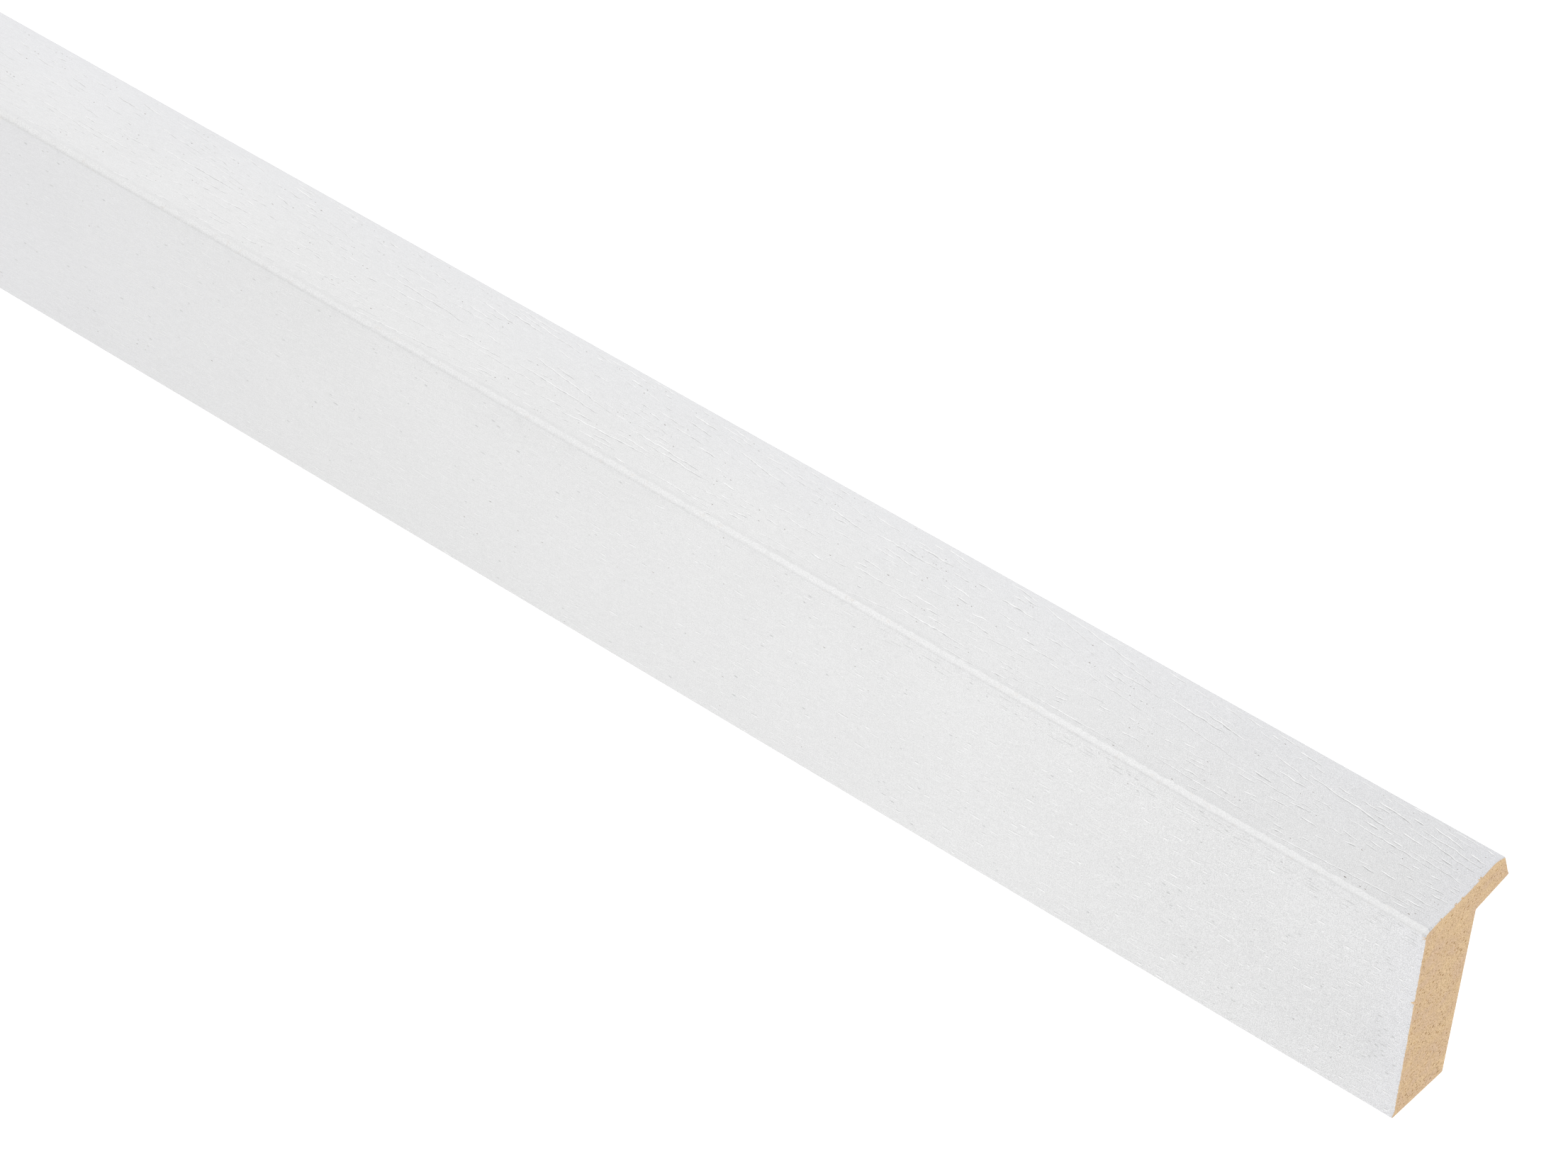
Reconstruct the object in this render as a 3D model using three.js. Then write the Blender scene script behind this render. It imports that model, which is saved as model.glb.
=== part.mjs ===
// A length of picture frame moulding, planed from one piece of light hardwood and painted white.
// Millimetres. X runs along the length, Y from the outer side to the lip, Z up from the back to the face.
// The origin lies on the back's plane, halfway along the length and in the middle of the width.

import * as THREE from 'three';

// Driving dimensions: the section's sharp corners, measured from the foot of the outer side
const LENGTH = 280; // cut square at both ends
const BACK_WIDTH = 11.8; // the flat that lies against the wall
const OUTER_HEIGHT = 33.4; // back to where the face, run on past the bevel, meets the outer side
const REBATE_SIDE = 12.55; // outer side to the rebate's inner corner
const REBATE_DEPTH = 29; // back to the rebate's inner corner
const LIP_REACH = 19.88; // outer side to the lip's sharp tip; the easing makes it 19.8
const BEVEL_WIDTH = 1.1; // outer side to the top of the bevel along the outer edge
const HOLLOW_OFFSET = 9.3; // outer side to the middle of the shallow hollow in the face
const SHOULDER_OFFSET = 15.8; // outer side to where the face turns down to the sight edge

// Slopes of the faces, in degrees
const LIP_RISE = 10; // the lip's underside, up towards its tip
const SIGHT_LEAN = 23.4; // the sight edge, away from upright
const BEVEL_RISE = 18; // the bevel, from the outer side to the face
const OUTER_FACE_RISE = 2.9; // the face, from the bevel to the hollow
const INNER_FACE_RISE = 11.7; // the face, from the hollow to the shoulder
const SHOULDER_FALL = 17.4; // the face, from the shoulder down to the sight edge

// Radii of the eased corners
const ARRIS_RADIUS = 0.2;
const SIGHT_EDGE_RADIUS = 0.5;
const SHOULDER_RADIUS = 4.4;
const HOLLOW_RADIUS = 70;
const BEVEL_RADIUS = 0.3;
const ARC_DIVISIONS = 4; // half the number of straight steps in each arc

// Matt white paint
const PAINT = new THREE.MeshStandardMaterial({ color: 0xe9e9ea, roughness: 0.65, metalness: 0 });

// How much a line at this angle gains for each millimetre run
function slope(degrees) {
  return Math.tan(THREE.MathUtils.degToRad(degrees));
}

// Where the leaning sight edge, up from the lip's tip, meets the face, down from the shoulder
function sightCorner(lipTip, shoulder) {
  const lean = slope(SIGHT_LEAN);
  const fall = slope(SHOULDER_FALL);
  const height = (shoulder.y - fall * (lipTip.x + lean * lipTip.y - shoulder.x)) / (1 - lean * fall);
  return new THREE.Vector2(lipTip.x - lean * (height - lipTip.y), height);
}

// The section's corners, anticlockwise from the foot of the outer side, each with its radius
function sectionCorners() {
  const lipHeight = REBATE_DEPTH + slope(LIP_RISE) * (LIP_REACH - REBATE_SIDE);
  const bevelTop = OUTER_HEIGHT + slope(OUTER_FACE_RISE) * BEVEL_WIDTH;
  const bevelFoot = bevelTop - slope(BEVEL_RISE) * BEVEL_WIDTH;
  const hollowHeight = OUTER_HEIGHT + slope(OUTER_FACE_RISE) * HOLLOW_OFFSET;
  const shoulderHeight = hollowHeight + slope(INNER_FACE_RISE) * (SHOULDER_OFFSET - HOLLOW_OFFSET);
  const lipTip = new THREE.Vector2(LIP_REACH, lipHeight);
  const hollow = new THREE.Vector2(HOLLOW_OFFSET, hollowHeight);
  const shoulder = new THREE.Vector2(SHOULDER_OFFSET, shoulderHeight);
  return [
    { point: new THREE.Vector2(0, 0), radius: ARRIS_RADIUS },
    { point: new THREE.Vector2(BACK_WIDTH, 0), radius: ARRIS_RADIUS },
    { point: new THREE.Vector2(REBATE_SIDE, REBATE_DEPTH), radius: ARRIS_RADIUS },
    { point: lipTip, radius: ARRIS_RADIUS },
    { point: sightCorner(lipTip, shoulder), radius: SIGHT_EDGE_RADIUS },
    { point: shoulder, radius: SHOULDER_RADIUS },
    { point: hollow, radius: HOLLOW_RADIUS },
    { point: new THREE.Vector2(BEVEL_WIDTH, bevelTop), radius: BEVEL_RADIUS },
    { point: new THREE.Vector2(0, bevelFoot), radius: BEVEL_RADIUS },
  ];
}

// Adds the arc that rounds one corner, touching the edges towards the corners before and after it
function addRoundedCorner(outline, before, corner, after, radius) {
  const backwards = before.clone().sub(corner).normalize();
  const onwards = after.clone().sub(corner).normalize();
  const halfAngle = Math.acos(backwards.dot(onwards)) / 2;
  const inwards = backwards.clone().add(onwards).normalize();
  const centre = inwards.multiplyScalar(radius / Math.sin(halfAngle)).add(corner);
  const reach = radius / Math.tan(halfAngle);
  const start = backwards.clone().multiplyScalar(reach).add(corner).sub(centre);
  const end = onwards.clone().multiplyScalar(reach).add(corner).sub(centre);
  const clockwise = backwards.cross(onwards) > 0;
  outline.absarc(centre.x, centre.y, radius, start.angle(), end.angle(), clockwise);
}

// The whole section as one closed outline
function sectionOutline() {
  const corners = sectionCorners();
  const outline = new THREE.Shape();
  corners.forEach(({ point, radius }, index) => {
    const before = corners[(index + corners.length - 1) % corners.length].point;
    const after = corners[(index + 1) % corners.length].point;
    addRoundedCorner(outline, before, point, after, radius);
  });
  outline.closePath();
  return outline;
}

// The section drawn out to its length, then moved to the origin and turned so that the length lies along X
function makeMoulding() {
  const geometry = new THREE.ExtrudeGeometry(sectionOutline(), {
    depth: LENGTH,
    steps: 1,
    curveSegments: ARC_DIVISIONS,
    bevelEnabled: false,
  });
  geometry.computeBoundingBox();
  const middle = geometry.boundingBox.getCenter(new THREE.Vector3());
  geometry.translate(-middle.x, 0, -middle.z);
  const moulding = new THREE.Mesh(geometry, PAINT);
  moulding.name = 'moulding';
  moulding.rotation.set(Math.PI / 2, 0, Math.PI / 2, 'ZYX');
  return moulding;
}

const frameMoulding = new THREE.Group();
frameMoulding.add(makeMoulding());

export default frameMoulding;
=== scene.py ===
# Looks of a length of picture frame moulding: white open-pore paint on planed hardwood, with bare cut ends.
# The frame is in metres; the relief is worked out in millimetres on the section unrolled flat.

import math
import random
from collections import namedtuple

import bpy
import numpy as np
from mathutils import Matrix, Vector, noise
from mathutils.geometry import delaunay_2d_cdt


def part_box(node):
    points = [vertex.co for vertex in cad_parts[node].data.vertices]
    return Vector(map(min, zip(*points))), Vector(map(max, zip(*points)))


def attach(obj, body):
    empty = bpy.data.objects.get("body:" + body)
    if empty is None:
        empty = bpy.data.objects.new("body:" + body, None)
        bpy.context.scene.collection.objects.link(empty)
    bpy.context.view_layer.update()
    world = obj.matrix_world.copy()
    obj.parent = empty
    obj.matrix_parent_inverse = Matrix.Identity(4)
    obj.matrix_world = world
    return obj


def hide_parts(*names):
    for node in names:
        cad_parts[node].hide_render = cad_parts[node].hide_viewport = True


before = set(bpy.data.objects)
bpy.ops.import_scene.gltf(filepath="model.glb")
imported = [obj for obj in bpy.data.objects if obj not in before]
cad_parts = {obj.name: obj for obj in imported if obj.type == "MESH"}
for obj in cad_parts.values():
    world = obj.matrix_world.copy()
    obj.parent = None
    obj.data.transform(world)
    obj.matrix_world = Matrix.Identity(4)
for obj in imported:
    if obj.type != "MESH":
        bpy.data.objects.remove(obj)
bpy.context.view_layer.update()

MM = 0.001
SEED = 20
TOUCH = 0.001  # mm, within which two places are the same

# Camera: its place in metres, angles in degrees, lens and sensor in mm
CAMERA_PLACE = (0.3634, -0.44398, 0.48657)
CAMERA_AZIMUTH = 37.148
CAMERA_ELEVATION = 39.999
CAMERA_ROLL = 4.027  # anticlockwise
CAMERA_LENS = 119.672
SENSOR_WIDTH = 36.0
CLIP_START = 0.01

# Material slots of the piece
# Paint slots; the band and edge ones carry a painted highlight and painted light and shade
FACE_PAINT, SIDE_PAINT, BAND_HIGHLIGHT, EDGE_LIGHT_AND_SHADE = range(4)
# Pore walls in painted light and painted shade, then the pin holes
FACE_PAINTED_LIT, FACE_PAINTED_SHADE, SIDE_PAINTED_LIT, SIDE_PAINTED_SHADE, PIN_HOLE = range(4, 9)
BARE_WOOD, END_GRAIN, END_PORE = range(9, 12)


def direction(azimuth, elevation):
    """Unit vector from the object; azimuth 0 is the -Y side and 90 the +X end, in degrees."""
    turn, tilt = math.radians(azimuth), math.radians(elevation)
    return Vector((math.sin(turn) * math.cos(tilt), -math.cos(turn) * math.cos(tilt), math.sin(tilt)))


def add_camera():
    """The photograph's viewpoint, with its slight tilt of the horizon."""
    turn = direction(CAMERA_AZIMUTH, CAMERA_ELEVATION).to_track_quat("Z", "Y").to_matrix()
    turn = turn @ Matrix.Rotation(math.radians(CAMERA_ROLL), 3, "Z")
    camera = bpy.data.objects.new("photo_camera", bpy.data.cameras.new("photo_camera"))
    camera.data.sensor_width = SENSOR_WIDTH
    camera.data.lens = CAMERA_LENS
    camera.data.clip_start = CLIP_START
    camera.matrix_world = Matrix.Translation(CAMERA_PLACE) @ turn.to_4x4()
    bpy.context.scene.collection.objects.link(camera)
    bpy.context.scene.camera = camera


add_camera()


# The section, unrolled

def read_outline(node):
    """The section at the solid's +X end: (y, z) points in mm, anticlockwise from the back's inner arris."""
    corners = [vertex.co / MM for vertex in node.data.vertices]
    end = max(corner.x for corner in corners)
    sides = set()
    for polygon in node.data.polygons:
        loop = [corners[index] for index in polygon.vertices]
        if min(corner.x for corner in loop) > end - TOUCH:
            keys = [(round(corner.y, 4), round(corner.z, 4)) for corner in loop]
            sides.update(zip(keys, keys[1:] + keys[:1]))
    following = {a: b for a, b in sides if (b, a) not in sides}
    first = max(point for point in following if point[1] < TOUCH)
    outline = [first]
    while following[outline[-1]] != first:
        outline.append(following[outline[-1]])
    return outline


# Bounds on a step's outward direction, a unit vector, that tell the parts of the section apart
UPRIGHT = 0.999
LEVEL = 0.95
BEVEL_LEAN = (0.25, 0.45)

# Outward directions at a rim are averaged over a reach in mm to both sides, in steps
SOFT_REACH = 0.9
SOFT_STEPS = 9


class Section:
    """The outline laid out straight: v in mm from the middle of the back, up the rebate, over and down."""

    def __init__(self, node):
        outline = read_outline(node)
        seam = ((outline[0][0] + outline[-1][0]) / 2, 0.0)
        self.points = np.array([seam] + outline + [seam])
        steps = np.diff(self.points, axis=0)
        lengths = np.hypot(steps[:, 0], steps[:, 1])
        self.v = np.concatenate(([0.0], np.cumsum(lengths)))
        self.facing = np.column_stack((steps[:, 1], -steps[:, 0])) / lengths[:, None]
        mean = np.vstack((self.facing[:1], self.facing[:-1] + self.facing[1:], self.facing[-1:]))
        self.normals = mean / np.linalg.norm(mean, axis=1)[:, None]
        across, up = self.facing.T
        self.end = self.v[-1]
        self.paint_start = self.v[int(np.argmax(self.points[:, 0]))]
        self.paint_end = self.v[-2]
        self.wall = self.stretch(across > UPRIGHT, 0.0, self.paint_start)
        self.underside = self.stretch(up < -LEVEL, self.wall[1], self.paint_start)
        facing_up = (up > LEVEL) & (across > -BEVEL_LEAN[0])
        self.face = self.stretch(facing_up, self.paint_start, self.paint_end)
        self.side = self.stretch(across < -UPRIGHT, self.paint_start, self.paint_end)
        self.bevel = (self.face[1], self.side[0])
        leaning = (across < -BEVEL_LEAN[0]) & (across > -BEVEL_LEAN[1])
        self.band = self.stretch(leaning, *self.bevel)
        self.edge = (self.band[1], self.side[0])

    def stretch(self, chosen, start, end):
        """The v range of the chosen straight steps that lie between two places."""
        inside = (self.v[:-1] >= start - TOUCH) & (self.v[1:] <= end + TOUCH)
        kept = np.flatnonzero(chosen & inside)
        return self.v[kept[0]], self.v[kept[-1] + 1]

    def at(self, v):
        """Place and outward direction, both (y, z), for each v."""
        place = np.column_stack([np.interp(v, self.v, self.points[:, k]) for k in (0, 1)])
        out = np.column_stack([np.interp(v, self.v, self.normals[:, k]) for k in (0, 1)])
        return place, out / np.linalg.norm(out, axis=1)[:, None]

    def soft_normals(self, v):
        """Outward directions averaged over a short stretch, for sinking a rim past its corners."""
        spread = np.linspace(-SOFT_REACH, SOFT_REACH, SOFT_STEPS)
        mean = sum(self.at(np.clip(v + step, 0.0, self.end))[1] for step in spread)
        return mean / np.linalg.norm(mean, axis=1)[:, None]

    def on_face(self, distance):
        """v of the place on the face at a distance from the outer side."""
        inside = (self.v >= self.face[0] - TOUCH) & (self.v <= self.face[1] + TOUCH)
        inwards = self.points[:, 0].min() - self.points[inside, 0]
        return float(np.interp(-distance, inwards, self.v[inside]))


# The solid's box in mm: its two ends, its length, its outer side and its width
low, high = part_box("moulding")
NEAR = high.x / MM
FAR = low.x / MM
LENGTH = NEAR - FAR
OUTER = low.y / MM
WIDTH = (high.y - low.y) / MM
section = Section(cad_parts["moulding"])
rng = random.Random(SEED)


# Pores, drawn on the unrolled section as thin lens shapes that are pushed in along a middle line

PATCH = 0.1  # mm, the grid in which taken places are kept
CLEARANCE = 0.08  # mm between pores
END_MARGIN = 0.62  # mm kept clear at the cut ends
SPAN_MARGIN = 0.25  # mm kept clear at the borders of a face
LAST_GAP = 0.05  # mm between a line and the margin at the near end
SHORTEST = 0.5  # mm, less than which a line isn't cut
LINE_STEP = 0.35  # mm between the points of a line
BEND_RATE = 0.28  # bends and kinks of a wavy line for each mm
KINK_RATE = 0.8
STEEPNESS = 0.22  # depth of a pore for its half width
END_STEEPNESS = 1.2  # the same on a cut end
LENS_BLUNTNESS = 0.4
LENS_UNEVEN = (0.6, 1.15)
FAR_RELIEF = 0.6  # share of the near end's relief

# Walls: the materials of a pore's two sides, first the one towards higher v.
# Bias: how far the sunken line lies towards that side, at the pore's start and end,
# as a share of the half width.
Pore = namedtuple("Pore", "path halves depth bias walls")

# Face pores: the wall towards the outer side in painted shade, the one towards the sight edge in painted
# light
FACE_WALLS = (FACE_PAINTED_SHADE, FACE_PAINTED_LIT)  # towards the outer side, towards the sight edge
# Side pores: the lower wall in painted light, the upper wall in painted shade
SIDE_WALLS = (SIDE_PAINTED_LIT, SIDE_PAINTED_SHADE)  # the lower wall, the upper wall
# Both walls in the painted-shade tone: darker spots, scratches and pore groups on the side, dark hairlines
# on the face
SIDE_DARK_WALLS = (SIDE_PAINTED_SHADE, SIDE_PAINTED_SHADE)
DARK_WALLS = (FACE_PAINTED_SHADE, FACE_PAINTED_SHADE)
HOLE_WALLS = (PIN_HOLE, PIN_HOLE)
BARE_WALLS = (END_PORE, END_PORE)
FACE_BIAS = (-0.05, -0.45)
EVEN = (0.0, 0.0)


class Sheet:
    """A flat sheet on which pores are laid out without touching each other."""

    def __init__(self, start, end):
        self.start = np.array(start)
        self.size = np.ceil((np.array(end) - self.start) / PATCH).astype(int) + 1
        self.taken = np.zeros(self.size, bool)
        self.pores = []

    def index(self, places):
        """Patches in which places lie."""
        return np.clip(np.round((places - self.start) / PATCH).astype(int), 0, self.size - 1)

    def patches(self, path, reach):
        """Patches within reach of a path."""
        path = np.array(path)
        along = np.concatenate(([0.0], np.cumsum(np.linalg.norm(np.diff(path, axis=0), axis=1))))
        fine = np.linspace(0.0, along[-1], int(along[-1] / PATCH * 1.5) + 2)
        samples = np.column_stack([np.interp(fine, along, path[:, k]) for k in (0, 1)])
        span = np.arange(-reach, reach + PATCH, PATCH)
        offsets = np.array([(a, b) for a in span for b in span if math.hypot(a, b) <= reach + PATCH / 2])
        found = self.index((samples[:, None, :] + offsets[None, :, :]).reshape(-1, 2))
        return found[:, 0], found[:, 1]

    def add(self, pore):
        """Keeps a pore if its place is free, and says whether it did."""
        patches = self.patches(pore.path, max(pore.halves) + CLEARANCE)
        if self.taken[patches].any():
            return False
        self.taken[patches] = True
        self.pores.append(pore)
        return True

    def free(self, place):
        """Whether a plain point may lie here."""
        return not self.taken[tuple(self.index(np.array(place)))]


def wander(start, length, heading, step, sway=0.0):
    """A straight path, or one that strays irregularly by about the given amount."""
    count = max(2, int(round(length / step)))
    strand = rng.uniform(0.0, 1000.0)
    path = []
    for k in range(count + 1):
        along = length * k / count
        bend = noise.noise(Vector((along * BEND_RATE, strand, 0.0)))
        kink = noise.noise(Vector((along * KINK_RATE, strand, 8.0)))
        aside = sway * (2.0 * bend + 1.5 * kink)
        x = start[0] + along * math.cos(heading) - aside * math.sin(heading)
        path.append((x, start[1] + along * math.sin(heading) + aside * math.cos(heading)))
    return path


def lens(count, half):
    """Half widths along a pore, none at its ends."""
    swell = [max(0.0, math.sin(math.pi * k / count)) ** LENS_BLUNTNESS for k in range(count + 1)]
    return [half * share * rng.uniform(*LENS_UNEVEN) for share in swell]


def within(path, span):
    """Whether a path keeps within a stretch of the section and clear of the cut ends."""
    return all(
        span[0] + SPAN_MARGIN < v < span[1] - SPAN_MARGIN and FAR + END_MARGIN < x < NEAR - END_MARGIN
        for x, v in path
    )


def fade(x):
    """Share of the full relief: all of it at the near end, less towards the far end."""
    return FAR_RELIEF + (1.0 - FAR_RELIEF) * (x - FAR) / LENGTH


def cut_line(sheet, span, start, length, heading, half, walls, bias=EVEN, step=LINE_STEP, sway=0.0):
    """One long open pore, ending at the near cut at the latest; returns its path if it found room."""
    room = NEAR - END_MARGIN - LAST_GAP - start[0]
    if room < SHORTEST:
        return None
    path = wander(start, min(length, room), heading, step, sway)
    if not within(path, span):
        return None
    pore = Pore(path, lens(len(path) - 1, half), STEEPNESS * half, bias, walls)
    return path if sheet.add(pore) else None


def cut_pin_hole(sheet, span, centre, half, depth, walls=HOLE_WALLS):
    """One unfilled pore, little longer than wide."""
    x, v = centre
    length = half * rng.uniform(1.5, 4.0)
    path = [(x + length * k / 2, v) for k in (-2, -1, 0, 1, 2)]
    halves = [0.0, 0.85 * half, half, 0.85 * half, 0.0]
    if within(path, span):
        sheet.add(Pore(path, halves, depth, EVEN, walls))


# Long pores beside the bevel: mm before the near end, mm from the outer side, length in mm and heading in
# degrees, then the half width, depth and sway of them all in mm
LONG_LINES = ((27.0, 1.75, 26.0, -3.0), (47.0, 3.4, 19.0, 2.0), (66.0, 2.0, 17.0, 0.0))
LONG_HALF = 0.12
LONG_DEPTH = 0.03
LONG_SWAY = 0.05

# Counts on the face, and the headings of its grain at the sight edge and the outer edge, in degrees
NEAR_BUNDLES = 14
NEAR_BUNDLE_LINES = 11
FACE_BUNDLES = 330
BUNDLE_LINES = (1, 2, 4, 6, 9)
FACE_DARK_LINES = 50
FACE_PIN_ROWS = 14
EDGE_CHIPS = 10
SIGHT_HEADING = 7.0
OUTER_HEADING = -3.0
HEADING_SPREAD = 2.2

# Counts on the side and on the bare faces
SIDE_DASHES = 3300
SIDE_LINES = 150
SIDE_PIN_HOLES = 50
SIDE_SPOTS = 260
EDGE_SCRATCHES = 170
BARE_LINES = 320

# Zones and depths in mm
EDGE_CHIP_ZONE = 60.0  # along the face, back from the near end
EDGE_CHIP_DEPTH = 0.1
PIN_DEPTH = 0.08
SPOT_DEPTH = 0.04
SCRATCH_ZONE = (90.0, 2.6)  # along the side, back from the near end, and down from the outer edge
MIDDLE_BELT = (15.0, 1.5)  # heights above the back with more lines: a middle and spread
FOOT_BELT = (0.0, 4.0)  # the same, from and to

# Lengths and half widths in mm, from and to
Kind = namedtuple("Kind", "lengths halves")
DARK_LINE = Kind((0.6, 2.5), (0.025, 0.04))
DARK_PORE_DASH = Kind((0.4, 0.9), (0.07, 0.13))
SIDE_LINE = Kind((2.5, 7.0), (0.06, 0.1))
SCRATCH = Kind((0.8, 3.0), (0.04, 0.07))
BARE_LINE = Kind((2.0, 9.0), (0.06, 0.1))
BUNDLE_HALVES = (0.08, 0.18)
EDGE_CHIP_HALVES = (0.04, 0.08)
PIN_HALVES = (0.035, 0.06)
SIDE_PIN_HALVES = (0.04, 0.065)
SPOT_HALVES = (0.08, 0.15)
SPOT_LOSS = 0.03  # by which spots are smaller at the near end
DASH_HALF = 0.075  # the least, and how much may be added
DASH_GAIN = 0.145
FAR_STRETCH = 1.9  # how much longer dashes are at the far end
STRETCH_LOSS = 0.9  # how much of that is gone at the near end

# Lengths about a median: the median in mm, the spread of its logarithm, the least and the most in mm
DASH_LENGTHS = (0.85, 0.4, 0.4, 2.6)
LINE_LENGTHS = (3.0, 0.55, 0.9, 8.0)

# Share of the face's lines that are longer than that, and their lengths in mm, from and to
LONG_SHARE = 0.32
LONG_LENGTHS = (7.0, 20.0)

# Bundles: spread as a share of the face's width and in mm along it, sway in mm, share that run out in holes
BUNDLE_SPREAD = (0.07, 5.0)
BUNDLE_SWAY = 0.09
HOLED_SHARE = 0.4

# Groups of darker pores on the side, both walls in the painted-shade tone: mm before the near end, mm above
# the back, spread in mm, count
DARK_PORE_GROUPS = (
    (4.6, 10.2, 1.7, 30), (4.9, 24.9, 0.8, 6), (12.5, 12.7, 1.5, 12), (19.0, 20.0, 0.9, 6),
    (28.5, 2.6, 0.8, 6), (34.5, 8.0, 1.0, 10), (37.0, 13.5, 1.6, 10), (46.8, 13.5, 1.0, 7),
    (66.5, 2.1, 0.8, 7), (86.0, 4.5, 0.9, 6),
)


def face_heading(across):
    """Grain direction over the face: it fans from the sight edge, at 0, to the outer edge, at 1."""
    turn = SIGHT_HEADING + (OUTER_HEADING - SIGHT_HEADING) * across
    return math.radians(turn + rng.gauss(0.0, HEADING_SPREAD))


def draw_size(kind):
    """A length and a half width for a pore of some kind."""
    return rng.uniform(*kind.lengths), rng.uniform(*kind.halves)


def usual_length(median, spread, least, most):
    """A length that is mostly near the median."""
    return min(most, max(least, rng.lognormvariate(math.log(median), spread)))


def line_length():
    """Mostly a few millimetres, sometimes much longer."""
    return rng.uniform(*LONG_LENGTHS) if rng.random() < LONG_SHARE else usual_length(*LINE_LENGTHS)


def cut_bundle(sheet, place, middle, count):
    """Some wavy pores close together on the face, a few of them running out in unfilled holes."""
    start, end = section.face
    for _ in range(count):
        across = middle + rng.gauss(0.0, BUNDLE_SPREAD[0])
        x = place + rng.gauss(0.0, BUNDLE_SPREAD[1])
        half = rng.uniform(*BUNDLE_HALVES) * fade(x)
        begin = (x, start + across * (end - start))
        heading = face_heading(across)
        length = line_length()
        path = cut_line(
            sheet, section.face, begin, length, heading, half, FACE_WALLS, FACE_BIAS, sway=BUNDLE_SWAY
        )
        if path and rng.random() < HOLED_SHARE:
            cut_pin_row(sheet, path[-1], heading, rng.randint(1, 3))


def cut_face(sheet):
    """Bundles of wavy pores over the face, closest at the near end, dark hairlines and rows of holes."""
    start, end = section.face
    for before_end, offset, length, heading in LONG_LINES:
        begin = (NEAR - before_end, section.on_face(offset))
        path = wander(begin, length, math.radians(heading), LINE_STEP, LONG_SWAY)
        sheet.add(Pore(path, lens(len(path) - 1, LONG_HALF), LONG_DEPTH, FACE_BIAS, FACE_WALLS))
    for _ in range(EDGE_CHIPS):
        spot = (NEAR - 1.0 - EDGE_CHIP_ZONE * rng.random() ** 1.5, end - rng.uniform(0.35, 0.6))
        cut_pin_hole(sheet, section.face, spot, rng.uniform(*EDGE_CHIP_HALVES), EDGE_CHIP_DEPTH)
    for k in range(NEAR_BUNDLES):
        place = NEAR - rng.uniform(3.0, 16.0)
        cut_bundle(sheet, place, (k + 0.5) / NEAR_BUNDLES, NEAR_BUNDLE_LINES)
    for _ in range(FACE_BUNDLES):
        cut_bundle(sheet, rng.uniform(FAR, NEAR), rng.random(), rng.choice(BUNDLE_LINES))
    for _ in range(FACE_DARK_LINES):
        across = rng.random()
        begin = (rng.uniform(FAR, NEAR), start + across * (end - start))
        length, half = draw_size(DARK_LINE)
        cut_line(sheet, section.face, begin, length, face_heading(across), half, DARK_WALLS, sway=0.05)
    for _ in range(FACE_PIN_ROWS):
        across = rng.uniform(0.05, 0.95)
        spot = (rng.uniform(FAR, NEAR), start + across * (end - start))
        cut_pin_row(sheet, spot, face_heading(across), rng.randint(2, 6))


def cut_pin_row(sheet, spot, heading, count):
    """A row of unfilled holes that leads on from a place on the face."""
    x, v = spot
    spacing = rng.uniform(0.3, 0.6)
    for k in range(1, count + 1):
        ahead = (x + k * spacing * math.cos(heading), v + k * spacing * math.sin(heading))
        cut_pin_hole(sheet, section.face, ahead, rng.uniform(*PIN_HALVES), PIN_DEPTH)


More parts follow.
